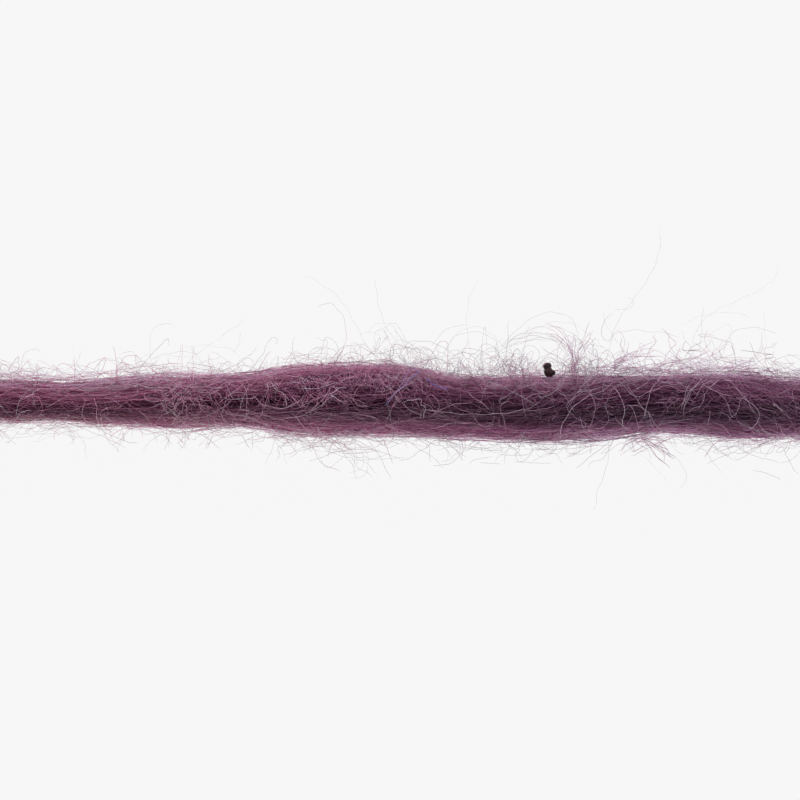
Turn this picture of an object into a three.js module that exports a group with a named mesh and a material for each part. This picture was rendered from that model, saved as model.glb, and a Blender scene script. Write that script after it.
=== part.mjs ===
// A cut length of knitting yarn: one ply of softly spun wool, thick and thin, lying straight on a table.
// Millimetres, +Z up. +X runs along the strand, and the origin is on the flat strip that it rests on,
// halfway along. The strand is one solid: its body of long slivers, and the fibres that stand off it as
// a halo, each growing out of one triangle of the body.

import * as THREE from "three";

// Driving dimensions
const STRAND_LENGTH = 36; // from one cut end to the other
const REST_DEPTH = 0.12; // how far the soft underside gives where it rests
const TWIST_PER_MM = -1.0; // degrees that the slivers turn for each millimetre: a hardly twisted single
const SLIVER_HEIGHT = 0.09; // how far a sliver's back stands above the gap beside it
const BODY_STEPS = 72; // rings along the strand
const SLIVER_POINTS = 4; // points on each sliver's back
const STRAY_THICKNESS = 0.08; // a few loose fibres that cling together
const STRAY_STEPS = 9; // rings along each stray
const STRAY_SPACING = 0.15; // between the middle lines of two strays
const LEAST_SPAN = 0.6; // between the two feet of a held stray
const PATH_SPOTS = 48; // places along a stray that are tested for room
const ROOT_SPOTS = 8; // of these, the ones nearest the root may lie against the body
const TABLE_CLEARANCE = 0.1; // the strays lie no lower than this
const FUZZ_TRIES = 72; // short fibres, less those that would touch another or the body
const FUZZ_MARGIN = 1.5; // none of them grows nearer than this to a cut end
const SPREAD = [0.7549, 0.5698, 0.4302]; // multiples of these fall evenly along, round and out

// Thick and thin: the middle line's sideways place and the width of the body, at each x.
const STATIONS = [
  { x: -18.0, y: 0.02, width: 1.92 },
  { x: -15.2, y: -0.02, width: 1.86 },
  { x: -13.6, y: -0.04, width: 1.76 },
  { x: -11.6, y: -0.04, width: 2.02 },
  { x: -9.2, y: -0.02, width: 2.24 },
  { x: -6.2, y: 0.03, width: 2.24 },
  { x: -4.5, y: 0.03, width: 2.78 },
  { x: -2.4, y: 0.04, width: 3.02 },
  { x: 0.2, y: 0.0, width: 2.98 },
  { x: 2.4, y: -0.26, width: 2.7 },
  { x: 5.8, y: -0.34, width: 2.82 },
  { x: 8.2, y: -0.27, width: 2.74 },
  { x: 10.5, y: -0.14, width: 2.52 },
  { x: 13.4, y: -0.24, width: 2.82 },
  { x: 15.4, y: -0.31, width: 2.52 },
  { x: 18.0, y: -0.28, width: 2.46 },
];

// The slivers round the body, by the angle of the gap where each begins, at x = 0. Angles are in
// degrees round the strand: 0 is towards +Y, 90 is up, 180 is towards -Y.
const SLIVERS = [
  { gap: 10, height: 1.0 },
  { gap: 48, height: 0.7 },
  { gap: 93, height: 1.0 },
  { gap: 117, height: 0.8 },
  { gap: 152, height: 1.0 },
  { gap: 200, height: 0.8 },
  { gap: 245, height: 1.0 },
  { gap: 292, height: 0.9 },
  { gap: 330, height: 0.7 },
];

// The strays placed by hand. Each leaves the body at x = from and lies along it as far as x = to, on the
// side given by its angle, and at most reach from the middle line. A held one goes back into the body.
const STRAYS = [
  { from: -14.9, to: -11.6, angle: 172, reach: 1.62, held: true },
  { from: -14.0, to: -10.6, angle: 188, reach: 1.6, held: true },
  { from: -12.9, to: -13.2, angle: 14, reach: 2.2, held: false },
  { from: -12.7, to: -11.3, angle: 6, reach: 1.6, held: true },
  { from: -12.2, to: -10.2, angle: 166, reach: 2.8, held: false },
  { from: -10.0, to: -10.2, angle: 18, reach: 2.7, held: false },
  { from: -9.4, to: -8.2, angle: 27, reach: 2.1, held: true },
  { from: -8.4, to: -6.3, angle: 2, reach: 2.2, held: true },
  { from: -7.9, to: -6.1, angle: 14, reach: 3.2, held: false },
  { from: -5.2, to: -2.6, angle: 174, reach: 2.5, held: true },
  { from: -1.3, to: 0.2, angle: 10, reach: 3.0, held: true },
  { from: -1.7, to: -3.5, angle: 2, reach: 4.0, held: false },
  { from: -1.2, to: -0.2, angle: 24, reach: 2.5, held: true },
  { from: 0.5, to: -0.7, angle: 16, reach: 4.0, held: false },
  { from: 1.3, to: 2.9, angle: 10, reach: 3.2, held: true },
  { from: 1.9, to: 1.5, angle: 172, reach: 2.6, held: false },
  { from: 2.7, to: 3.1, angle: 12, reach: 4.8, held: false },
  { from: 3.9, to: 6.4, angle: 3, reach: 3.2, held: true },
  { from: 4.3, to: 7.2, angle: 24, reach: 3.1, held: true },
  { from: 5.4, to: 8.2, angle: 13, reach: 2.6, held: true },
  { from: 6.9, to: 5.8, angle: -7, reach: 3.0, held: false },
  { from: 7.3, to: 15.0, angle: -18, reach: 1.85, held: true },
  { from: 8.3, to: 14.2, angle: -10, reach: 1.95, held: true },
  { from: 8.9, to: 9.6, angle: 8, reach: 6.7, held: false },
  { from: 8.4, to: 11.1, angle: 20, reach: 3.1, held: true },
  { from: 8.7, to: 8.2, angle: 175, reach: 4.1, held: false },
  { from: 9.6, to: 15.4, angle: -2, reach: 2.1, held: true },
  { from: 9.8, to: 11.2, angle: 178, reach: 3.3, held: true },
  { from: 11.2, to: 14.0, angle: 22, reach: 3.6, held: true },
  { from: 11.4, to: 15.6, angle: 170, reach: 1.9, held: true },
  { from: 11.9, to: 13.9, angle: 10, reach: 5.5, held: false },
  { from: 12.4, to: 12.2, angle: 30, reach: 3.9, held: false },
  { from: 14.7, to: 14.5, angle: 15, reach: 3.7, held: false },
];

// Where round the body the short fibres grow, in degrees.
const FUZZ_SIDES = [
  { start: -25, sweep: 60 },
  { start: 36, sweep: 60 },
  { start: 160, sweep: 40 },
  { start: 100, sweep: 64 },
];

const wool = new THREE.MeshStandardMaterial({ color: 0x6b4257, roughness: 0.92, metalness: 0 });
const radians = THREE.MathUtils.degToRad;

// One value of the stations at x, on a smooth curve through the rows.
function stationValue(key, x) {
  const last = STATIONS.length - 1;
  const k = Math.min(Math.max(STATIONS.findLastIndex((s) => s.x <= x), 0), last - 1);
  const slope = (i) => {
    const before = STATIONS[Math.max(i - 1, 0)];
    const after = STATIONS[Math.min(i + 1, last)];
    return (after[key] - before[key]) / (after.x - before.x);
  };
  const [start, end] = [STATIONS[k], STATIONS[k + 1]];
  const span = end.x - start.x;
  const t = (x - start.x) / span;
  const [t2, t3] = [t * t, t * t * t];
  return (
    (2 * t3 - 3 * t2 + 1) * start[key] +
    (t3 - 2 * t2 + t) * span * slope(k) +
    (3 * t2 - 2 * t3) * end[key] +
    (t3 - t2) * span * slope(k + 1)
  );
}

// The body's middle and radius at x, the radius up to the slivers' backs.
function bodyAt(x) {
  const radius = stationValue("width", x) / 2;
  return { y: stationValue("y", x), z: radius - SLIVER_HEIGHT - REST_DEPTH, radius };
}

// Each point of a section as an angle at x = 0 and its height on the sliver, 0 in a gap.
function sectionPoints() {
  return SLIVERS.flatMap((sliver, i) => {
    const next = i + 1 < SLIVERS.length ? SLIVERS[i + 1].gap : SLIVERS[0].gap + 360;
    return Array.from({ length: SLIVER_POINTS }, (_, j) => {
      const t = j / SLIVER_POINTS;
      return {
        angle: sliver.gap + (next - sliver.gap) * t,
        height: sliver.height * Math.sqrt(Math.sin(Math.PI * t)),
      };
    });
  });
}

// The strand's surface as it grows: its points, and the triangles that aren't a stray's root.
class Surface {
  constructor() {
    this.section = sectionPoints();
    this.points = [];
    this.faces = [];
    this.roots = new Set();
    this.placed = [];
  }

  // Adds points and returns the number of the first.
  add(...points) {
    this.points.push(...points);
    return this.points.length - points.length;
  }

  // The body's rings along X. Points that would be below the table lie on it, which makes the flat strip
  // that the strand rests on.
  addRings() {
    for (let i = 0; i <= BODY_STEPS; i++) {
      const x = STRAND_LENGTH * (i / BODY_STEPS - 0.5);
      const body = bodyAt(x);
      for (const { angle, height } of this.section) {
        const turned = radians(angle + TWIST_PER_MM * x);
        const r = body.radius - SLIVER_HEIGHT * (1 - height);
        const z = body.z + r * Math.sin(turned);
        this.add(new THREE.Vector3(x, body.y + r * Math.cos(turned), Math.max(0, z)));
      }
    }
  }

  // The two triangles of the body between ring i and the next, at column j.
  cell(i, j) {
    const count = this.section.length;
    const [a, b] = [i * count + j, i * count + ((j + 1) % count)];
    return [
      [a, b, b + count],
      [a, b + count, a + count],
    ];
  }

  // The nearest free cell of the body at x and this angle, whose first triangle can be a stray's root.
  findRoot(x, angle) {
    const turn = (a) => THREE.MathUtils.euclideanModulo(a + 180, 360) - 180;
    const away = this.section.map((p) => Math.abs(turn(p.angle + TWIST_PER_MM * x - angle)));
    const j = away.indexOf(Math.min(...away));
    let i = Math.floor((x / STRAND_LENGTH + 0.5) * BODY_STEPS);
    while (this.roots.has(i + "," + j)) i++;
    const corners = this.cell(i, j)[0];
    const centre = new THREE.Vector3();
    for (const k of corners) centre.addScaledVector(this.points[k], 1 / 3);
    return { key: i + "," + j, corners, centre };
  }

  // Opens a root: its triangle becomes a flat rim round a smaller one, from which the stray leaves.
  openRoot({ key, corners, centre }) {
    this.roots.add(key);
    const inward = (k) => this.points[k].clone().sub(centre).setLength(STRAY_THICKNESS / 2).add(centre);
    const first = this.add(...corners.map(inward));
    const ring = [first, first + 1, first + 2];
    this.addWalls(corners, ring);
    return ring;
  }

  // A plain cut at ring i: a fan round a point in its middle, facing -X at the first ring.
  addCut(i) {
    const count = this.section.length;
    const x = STRAND_LENGTH * (i / BODY_STEPS - 0.5);
    const middle = this.add(new THREE.Vector3(x, bodyAt(x).y, bodyAt(x).z));
    for (let j = 0; j < count; j++) {
      const [a, b] = [i * count + j, i * count + ((j + 1) % count)];
      this.faces.push(i === 0 ? [middle, b, a] : [middle, a, b]);
    }
  }

  // The walls of a tube from one triangle of points to the next.
  addWalls(from, to) {
    for (let k = 0; k < 3; k++) {
      const next = (k + 1) % 3;
      this.faces.push([from[k], from[next], to[next]], [from[k], to[next], to[k]]);
    }
  }

  // Whether a stray on this path would touch the body or a stray that is already there.
  touches(path, held) {
    const spots = path.getPoints(PATH_SPOTS);
    const sinks = (p) => {
      const body = bodyAt(p.x);
      return Math.hypot(p.y - body.y, p.z - body.z) < body.radius + STRAY_THICKNESS / 2;
    };
    return (
      spots.slice(ROOT_SPOTS, held ? -ROOT_SPOTS : undefined).some(sinks) ||
      spots.some((p) => this.placed.some((q) => p.distanceTo(q) < STRAY_SPACING))
    );
  }

  // A three-sided stray from its root to its tip, or back into the body. One without room is left out.
  addStray(stray) {
    const root = this.findRoot(stray.from, stray.angle);
    const foot = stray.held ? this.findRoot(stray.to, stray.angle) : null;
    const path = strayPath(stray, root, foot);
    const cramped = foot && root.centre.distanceTo(foot.centre) < LEAST_SPAN;
    if (cramped || this.touches(path, stray.held)) return;
    this.placed.push(...path.getPoints(PATH_SPOTS));
    let ring = this.openRoot(root);
    let offsets = ring.map((k) => this.points[k].clone().sub(root.centre));
    for (let i = 1; i < STRAY_STEPS; i++) {
      const t = i / STRAY_STEPS;
      const along = path.getTangent(t);
      offsets = offsets.map((o) => o.clone().projectOnPlane(along).setLength(STRAY_THICKNESS / 2));
      offsets = evenlyRound(offsets, along);
      const first = this.add(...offsets.map((o) => path.getPoint(t).add(o)));
      const next = [first, first + 1, first + 2];
      this.addWalls(ring, next);
      ring = next;
    }
    if (foot) {
      this.addWalls(ring, this.facing(ring, this.openRoot(foot)));
    } else {
      const tip = this.add(path.getPoint(1));
      for (let k = 0; k < 3; k++) this.faces.push([ring[k], ring[(k + 1) % 3], tip]);
    }
  }

  // A foot's ring in the order in which it lies nearest to a ring that arrives from outside.
  facing(ring, [a, b, c]) {
    const gap = (order) =>
      order.reduce((sum, k, i) => sum + this.points[k].distanceTo(this.points[ring[i]]), 0);
    const orders = [
      [a, c, b],
      [c, b, a],
      [b, a, c],
    ];
    return orders.sort((p, q) => gap(p) - gap(q))[0];
  }

  geometry() {
    for (let i = 0; i < BODY_STEPS; i++)
      for (let j = 0; j < this.section.length; j++) {
        const [lower, upper] = this.cell(i, j);
        if (!this.roots.has(i + "," + j)) this.faces.push(lower);
        this.faces.push(upper);
      }
    return new THREE.BufferGeometry().setFromPoints(this.points).setIndex(this.faces.flat());
  }
}

// Three offsets a third of a turn apart round a direction, starting from the first.
function evenlyRound([first], along) {
  return [0, 1, 2].map((k) => first.clone().applyAxisAngle(along, (2 * Math.PI * k) / 3));
}

// A stray's middle line: out of its root and on to its tip, or over to its foot.
function strayPath({ from, to, angle, reach, held }, root, foot) {
  const out = new THREE.Vector3(0, Math.cos(radians(angle)), Math.sin(radians(angle)));
  const rise = reach - bodyAt(from).radius;
  const tip = root.centre.clone().setX(to);
  const points = Array.from({ length: STRAY_STEPS + 1 }, (_, i) => {
    const t = i / STRAY_STEPS;
    const share = Math.pow(Math.sin(Math.PI * t * (held ? 1 : 0.5)), 0.6);
    const wave = (held ? 0.08 * (to - from) : 0.2) * Math.sin(2 * Math.PI * t);
    const point = root.centre.clone().lerp(held ? foot.centre : tip, t);
    point.addScaledVector(out, rise * share);
    point.x += wave;
    point.z = Math.max(TABLE_CLEARANCE, point.z);
    return point;
  });
  return new THREE.CatmullRomCurve3(points);
}

// The short fibres, spread evenly along the strand: low loops and free ends, in turn on each stretch of
// its round.
function fuzz() {
  const half = STRAND_LENGTH / 2 - FUZZ_MARGIN;
  return Array.from({ length: FUZZ_TRIES }, (_, i) => {
    const [along, round, far] = SPREAD.map((k) => (i * k + 0.5) % 1);
    const from = half * (2 * along - 1);
    const length = (0.9 + 1.2 * far) * (from < 0 ? 1 : -1);
    return {
      from,
      to: from + length,
      angle: FUZZ_SIDES[i % FUZZ_SIDES.length].start + FUZZ_SIDES[i % FUZZ_SIDES.length].sweep * round,
      reach: bodyAt(from).radius + 0.35 + 0.5 * far,
      held: i % 3 !== 0,
    };
  });
}

function strandGeometry() {
  const surface = new Surface();
  surface.addRings();
  surface.addCut(0);
  surface.addCut(BODY_STEPS);
  for (const stray of [...STRAYS, ...fuzz()]) surface.addStray(stray);
  return surface.geometry();
}

const yarn = new THREE.Group();
yarn.name = "knitting_yarn";
const strand = new THREE.Mesh(strandGeometry(), wool);
strand.name = "strand";
yarn.add(strand);

export default yarn;
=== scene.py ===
# %% [markdown]
# # One strand of knitting yarn, seen close
#
# This lesson dresses a cut length of soft single-ply yarn. A yarn of this kind is nothing but fibres: a
# few hundred of them lie side by side with hardly any twist, and many more stand off the strand as a
# halo. A painted tube can't show that, so every fibre that a close camera could make out is a thin mesh
# tube of its own, worked out with numpy as whole arrays. Under them lies one dark body, which closes the
# view between the fibres.

# %% Load the frame
import math

import bpy
import numpy as np
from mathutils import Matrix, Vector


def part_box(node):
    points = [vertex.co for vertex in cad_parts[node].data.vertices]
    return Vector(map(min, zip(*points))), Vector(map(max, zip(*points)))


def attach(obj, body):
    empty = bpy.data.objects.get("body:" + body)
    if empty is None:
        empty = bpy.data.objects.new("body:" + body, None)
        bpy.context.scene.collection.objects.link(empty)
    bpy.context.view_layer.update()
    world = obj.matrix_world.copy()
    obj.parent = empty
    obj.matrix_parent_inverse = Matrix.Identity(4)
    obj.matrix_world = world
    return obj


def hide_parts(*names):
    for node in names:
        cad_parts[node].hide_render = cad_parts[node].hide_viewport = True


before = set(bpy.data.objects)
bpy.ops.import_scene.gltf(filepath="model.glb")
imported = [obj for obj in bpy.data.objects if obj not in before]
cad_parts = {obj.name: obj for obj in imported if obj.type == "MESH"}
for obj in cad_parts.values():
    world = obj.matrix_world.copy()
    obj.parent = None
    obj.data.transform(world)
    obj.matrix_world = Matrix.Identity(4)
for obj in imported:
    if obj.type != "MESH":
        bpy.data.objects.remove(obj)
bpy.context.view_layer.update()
MM = 0.001
strand_low, strand_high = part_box("strand")
STRAND_LENGTH = (strand_high.x - strand_low.x) / MM
HALF_LENGTH = STRAND_LENGTH / 2
print("The strand is", round(STRAND_LENGTH, 2), "mm long")

# %% [markdown]
# ## The camera
#
# The photograph looks straight down on the strand, which crosses the whole picture. A wool fibre is
# about a pixel wide in it, which makes 25 pixels a millimetre. A long lens keeps the strand's two edges
# from leaning, so the camera stands back as far as that lens needs to take in 32 mm.

# %% The camera
PHOTO_PIXELS = 800
PIXELS_PER_MM = 25.0
MIDDLE_HEIGHT = 1.25 * MM

camera_data = bpy.data.cameras.new("camera")
camera_data.lens = 100.0
camera_data.sensor_width = 36.0
camera_data.clip_start = 0.005
camera_data.clip_end = 2.0
camera = bpy.data.objects.new("camera", camera_data)
bpy.context.scene.collection.objects.link(camera)
bpy.context.scene.camera = camera
view_width = PHOTO_PIXELS / PIXELS_PER_MM * MM
camera_distance = view_width * camera_data.lens / camera_data.sensor_width
camera.location = (0.0, 0.0, MIDDLE_HEIGHT + camera_distance)
print("The camera stands", round(camera_distance / MM), "mm above the strand")

# %% [markdown]
# ## Thick and thin
#
# Softly spun yarn is uneven: where more fibres were drafted together it is thick, and where fewer were,
# it is thin. The table gives the middle line's sideways place and the width at sixteen stations, the
# same as in the solid part. Between two stations a cubic curve runs on without a kink, with each
# station's slope taken from its two neighbours.

# %% Stations along the strand
STATIONS = np.array(
    [
        # x, y and width, in millimetres
        (-18.0, 0.02, 1.92),
        (-15.2, -0.02, 1.86),
        (-13.6, -0.04, 1.76),
        (-11.6, -0.04, 2.02),
        (-9.2, -0.02, 2.24),
        (-6.2, 0.03, 2.24),
        (-4.5, 0.03, 2.78),
        (-2.4, 0.04, 3.02),
        (0.2, 0.0, 2.98),
        (2.4, -0.26, 2.7),
        (5.8, -0.34, 2.82),
        (8.2, -0.27, 2.74),
        (10.5, -0.14, 2.52),
        (13.4, -0.24, 2.82),
        (15.4, -0.31, 2.52),
        (18.0, -0.28, 2.46),
    ]
)
SLIVER_HEIGHT = 0.09
REST_DEPTH = 0.12  # what the soft underside gives where it rests
TWIST_PER_MM = -1.0  # degrees


def station_value(column, x):
    """The column's value at x: t runs from 0 to 1 between two stations, and the value is a cubic in t
    that meets both stations' values and slopes."""
    at, value = STATIONS[:, 0], STATIONS[:, column]
    before = np.maximum(np.arange(len(at)) - 1, 0)
    after = np.minimum(np.arange(len(at)) + 1, len(at) - 1)
    slope = (value[after] - value[before]) / (at[after] - at[before])
    k = np.clip(np.searchsorted(at, x, side="right") - 1, 0, len(at) - 2)
    span = at[k + 1] - at[k]
    t = (x - at[k]) / span
    return (
        (2 * t**3 - 3 * t**2 + 1) * value[k]
        + (t**3 - 2 * t**2 + t) * span * slope[k]
        + (3 * t**2 - 2 * t**3) * value[k + 1]
        + (t**3 - t**2) * span * slope[k + 1]
    )


def middle_line(x):
    """The middle of the strand at x, and its radius, in millimetres. It lies as high as its radius, less
    what the soft underside gives."""
    radius = station_value(2, x) / 2
    return station_value(1, x), radius - SLIVER_HEIGHT - REST_DEPTH, radius


check_x = np.linspace(-HALF_LENGTH, HALF_LENGTH, 7)
print("Widths along the strand:", np.round(station_value(2, check_x), 2), "mm")

# %% [markdown]
# ## Slivers
#
# The fibres of a single ply lie in loose bundles, the slivers, with a dark gap between one and the next.
# The gaps turn round the strand by a degree for each millimetre. A sliver's back is the square root of a
# sine between its two gaps, round on top and steep at the gap. Finer ridges, sums of sines round the
# strand whose phase drifts along it, make each bundle look combed.

# %% The strand's surface
SLIVER_GAPS = np.array([10, 48, 97, 118, 152, 200, 245, 292, 330, 370], float)
SLIVER_BACKS = np.array([1.0, 0.7, 1.0, 0.8, 1.0, 0.8, 1.0, 0.9, 0.7])
GAP_DEPTH = 0.2
DRAWN_SIDES = [
    # x and its spread, angle and its spread, depth
    (10.8, 5.5, 0, 30, 0.08),
    (6.6, 2.8, 182, 30, 0.06),
]
COMB_WAVES = 14
COMB_HEIGHT = 0.016
COMB_COUNTS, COMB_DRIFT, COMB_PACE = (15, 70), (1, 3), (0.2, 0.7)


def sliver_relief(x, angle):
    """How far the surface stands above the bottom of a gap, from 0 to 1, at an angle in degrees."""
    untwisted = (angle - TWIST_PER_MM * x - SLIVER_GAPS[0]) % 360 + SLIVER_GAPS[0]
    k = np.clip(np.searchsorted(SLIVER_GAPS, untwisted, side="right") - 1, 0, len(SLIVER_BACKS) - 1)
    t = (untwisted - SLIVER_GAPS[k]) / (SLIVER_GAPS[k + 1] - SLIVER_GAPS[k])
    return SLIVER_BACKS[k] * np.sqrt(np.sin(np.pi * np.clip(t, 0, 1)))


def comb_relief(x, angle):
    """Fine ridges along the strand: sines of 15 to 70 waves a turn, each with a phase that drifts."""
    rng = np.random.default_rng(11)
    total = np.zeros(np.broadcast(x, angle).shape)
    for waves in rng.integers(*COMB_COUNTS, COMB_WAVES):
        phase, drift, pace = rng.uniform(0, 2 * np.pi), rng.uniform(*COMB_DRIFT), rng.uniform(*COMB_PACE)
        turn = np.radians(angle - TWIST_PER_MM * x)
        total = total + np.sin(waves * turn + phase + drift * np.sin(pace * x + phase))
    return total * COMB_HEIGHT / math.sqrt(COMB_WAVES)


def strand_surface(x, angle, lift=0.0):
    """Points on the strand in metres: from the middle line, out by the radius, less the depth of the
    gaps and where a side is drawn in, plus the combing and a lift, towards an angle that is 0 at +Y and
    90 on top. A side is drawn in by a bell curve over x and the angle."""
    y, z, radius = middle_line(x)
    r = radius - GAP_DEPTH * (1 - sliver_relief(x, angle)) + comb_relief(x, angle) + lift
    for at, spread, middle, round_spread, depth in DRAWN_SIDES:
        off = (angle - middle + 180) % 360 - 180
        r = r - depth * np.exp(-(((x - at) / spread) ** 2) - (off / round_spread) ** 2)
    turn = np.radians(angle)
    points = np.stack(np.broadcast_arrays(x, y + r * np.cos(turn), z + r * np.sin(turn)), -1)
    points[..., 2] = np.maximum(points[..., 2], 0)
    return points * MM


print("A sliver's gap is", GAP_DEPTH, "mm deep")

# %% [markdown]
# ## From arrays to meshes
#
# A few helpers turn arrays into objects. Blender takes whole arrays with foreach_set, which is far
# quicker than adding faces one at a time. Every shape here is built of rings that close on themselves,
# so one function counts out the faces between rings, for the body, the fibres and the fleck alike.

# %% Helper: a mesh from arrays
MAP_NAME = "OFBake"


def new_mesh(name, points, faces, corner_map):
    """A smooth object from points, a list of face arrays with 3 or 4 corners, and a map per corner."""
    mesh = bpy.data.meshes.new(name)
    corners = np.concatenate([f.ravel() for f in faces]).astype(np.int32)
    sizes = np.concatenate([np.full(len(f), f.shape[1]) for f in faces])
    starts = np.concatenate([[0], np.cumsum(sizes)[:-1]]).astype(np.int32)
    mesh.vertices.add(len(points))
    mesh.vertices.foreach_set("co", points.astype(np.float32).ravel())
    mesh.loops.add(len(corners))
    mesh.loops.foreach_set("vertex_index", corners)
    mesh.polygons.add(len(sizes))
    mesh.polygons.foreach_set("loop_start", starts)
    mesh.polygons.foreach_set("use_smooth", np.ones(len(sizes), bool))
    layer = mesh.uv_layers.new(name=MAP_NAME)
    layer.uv.foreach_set("vector", corner_map.astype(np.float32).ravel())
    mesh.update(calc_edges=True)
    mesh.validate()
    piece = bpy.data.objects.new(name, mesh)
    bpy.context.scene.collection.objects.link(piece)
    return piece


def set_dye(piece, values):
    """Gives each point its dye, the number from which the finish of wool takes its tone, painted light and
    shade included.
    """
    dye = piece.data.attributes.new("dye", "FLOAT", "POINT")
    dye.data.foreach_set("value", values.astype(np.float32))


# %% Helper: faces between rings


def ring_quads(rings, around):
    """The four-cornered faces between rings of points: two neighbours on one ring, and the same two on
    the next."""
    i = np.arange(rings)[:, None] * around
    j = np.arange(around)[None]
    k = (j + 1) % around
    return np.stack([i + j, i + k, i + k + around, i + j + around], -1).reshape(-1, 4)


def ring_map(rings, around):
    """For each corner of ring_quads, how far it is along the rings and how far round, from 0 to 1."""
    u = (np.arange(rings)[:, None, None] + [0, 0, 1, 1]) / rings
    v = (np.arange(around)[None, :, None] + [0, 1, 1, 0]) / around
    return np.stack(np.broadcast_arrays(u, v), -1).reshape(-1, 2)


def fan(middle, first, around):
    """Triangles from a middle point to each two neighbours on the ring whose first point is given."""
    j = np.arange(around)
    return np.stack([np.full(around, middle), first + j, first + (j + 1) % around], -1)


def turned(faces):
    """The same faces facing the other way: the first corner stays, and the others are in reverse."""
    return np.concatenate([faces[:, :1], faces[:, :0:-1]], 1)


# %% [markdown]
# ## Many fibres at once
#
# One mesh holds thousands of fibres. Each is a tube with three sides, because a fibre is hardly a pixel
# wide and smooth shading rounds it off. Its side vector is carried along the path and flattened at each
# step, so that the tube never twists. Every fibre has its own small field on the map.

# %% Helper: many fibres as one mesh
SIDES = 3
TIP_SHARE = 0.55  # how thick the tips are
TABLE_GAP = 0.012
SIDEWAYS = (0.31, 0.52, 0.8)  # no fibre sets out in just this direction
FIELD_LENGTH = 12  # a field's length on the map for a height of 1
FIELD_EDGE = np.array([0.03, 0.06])
TIP_SPOTS = np.array([(u, v) for u in (0.03, 0.97) for v in (0.3, 0.5, 0.7)])
PALEST = 0.94  # a dye above it is blue


def unit(vectors):
    """The vectors, each scaled to a length of 1."""
    return vectors / np.maximum(np.linalg.norm(vectors, axis=-1, keepdims=True), 1e-12)


def near_ends(steps, share):
    """1 at both ends of a fibre, and evenly less towards 0 over that share of its length."""
    t = np.linspace(0, 1, steps)
    return np.clip(1 - np.minimum(t, 1 - t) / share, 0, 1)


def fibres(name, paths, thickness, dye, finish):
    """One object of three-sided tubes. paths is (fibres, steps, 3) in millimetres, thickness and dye one
    number for each fibre. Both ends taper over a tenth of the fibre."""
    count, steps, _ = paths.shape
    paths = paths.copy()
    paths[..., 2] = np.maximum(paths[..., 2], thickness[:, None] / 2 + TABLE_GAP)
    along = unit(np.gradient(paths, axis=1))
    side = np.empty_like(along)
    side[:, 0] = unit(np.cross(along[:, 0], SIDEWAYS))
    for s in range(1, steps):
        carried = side[:, s - 1]
        side[:, s] = unit(carried - (carried * along[:, s]).sum(-1, keepdims=True) * along[:, s])
    across = np.cross(along, side)
    radius = thickness[:, None] / 2 * (1 - (1 - TIP_SHARE) * near_ends(steps, 0.1))
    turns = 2 * np.pi * np.arange(SIDES) / SIDES
    spokes = np.cos(turns)[:, None] * side[:, :, None] + np.sin(turns)[:, None] * across[:, :, None]
    points = paths[:, :, None] + radius[:, :, None, None] * spokes
    first = np.arange(count)[:, None, None] * steps * SIDES
    end = (steps - 1) * SIDES
    quads = first + ring_quads(steps - 1, SIDES)
    tips = first + np.array([[0, 2, 1], [end, end + 1, end + 2]])
    columns = max(1, int(math.sqrt(count / FIELD_LENGTH)))
    rows = -(-count // columns)
    field = np.stack([np.arange(count) % columns, np.arange(count) // columns], -1)[:, None]
    tube_map = field + FIELD_EDGE + (1 - 2 * FIELD_EDGE) * ring_map(steps - 1, SIDES)
    tip_map = field + TIP_SPOTS
    corner_map = np.concatenate([tube_map.reshape(-1, 2), tip_map.reshape(-1, 2)]) / [columns, rows]
    faces = [quads.reshape(-1, 4), tips.reshape(-1, 3)]
    piece = new_mesh(name, points.reshape(-1, 3) * MM, faces, corner_map)
    set_dye(piece, np.repeat(dye, steps * SIDES))
    piece.data.materials.append(finish)
    print(name, "has", count, "fibres and", 2 * count * (SIDES * (steps - 1) + 1), "triangles")
    return piece


def smooth_noise(rng, count, steps, waves):
    """(count, steps) smooth random curves: sines of 1 to `waves` waves over the fibre, the shorter the
    lower, with random phases."""
    t = np.linspace(0, 1, steps)
    k = np.arange(1, waves + 1)[:, None]
    phase = rng.uniform(0, 2 * np.pi, (count, waves, 1))
    size = rng.normal(0, 1, (count, waves, 1)) / k
    return (size * np.sin(2 * np.pi * k * t + phase)).sum(1)


def dyes_about(rng, tone, spread, count):
    """Dyes scattered about a tone, none of them so high that it is blue."""
    return np.clip(rng.normal(tone, spread, count), 0, PALEST)


# %% [markdown]
# ## The finish of wool
#
# Heathered wool is spun from fibres dyed in several tones before they are mixed, so the colour belongs to
# each fibre. The number dye picks a tone from a ramp, and noise along the strand lightens and darkens it a
# little. Besides each fibre's own tone, dye holds painted light and shade: it is paler along both edges and
# on the loose fibres that stand proud, and darker deep in the strand. The mixture drifts from a redder plum
# on the left to a greyer violet on the right, and it is greyer in a band along the near side. Wool has a
# scaly surface: rough, with a faint sheen, and a little light goes into it.

# %% Helper: colours and nodes


def linear(code):
    """A colour written as RRGGBB, as the shader wants it: each part's value to the power of 2.2."""
    parts = [int(code[i : i + 2], 16) / 255 for i in (0, 2, 4)]
    return tuple(p**2.2 for p in parts) + (1.0,)


def fill(node, values):
    """Puts the values into the node's own input sockets."""
    for socket, value in values.items():
        node.inputs[socket].default_value = value


def new_material(name, values):
    """A material and its Principled shader, with the values in the shader's sockets."""
    material = bpy.data.materials.new(name)
    material.use_nodes = True
    shader = material.node_tree.nodes["Principled BSDF"]
    fill(shader, values)
    return material, shader


def add_node(nodes, kind, values=None, **options):
    """A new node: first its options, which decide what sockets it has, then the values in them."""
    node = nodes.new("ShaderNode" + kind)
    for option, choice in options.items():
        setattr(node, option, choice)
    fill(node, values or {})
    return node


def add_ramp(nodes, stops):
    """A colour ramp from its stops, each a place from 0 to 1 and a colour."""
    ramp = add_node(nodes, "ValToRGB")
    elements = ramp.color_ramp.elements
    elements.remove(elements[1])
    for i, (at, code) in enumerate(stops):
        stop = elements[0] if i == 0 else elements.new(at)
        stop.position, stop.color = at, linear(code)
    return ramp


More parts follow.
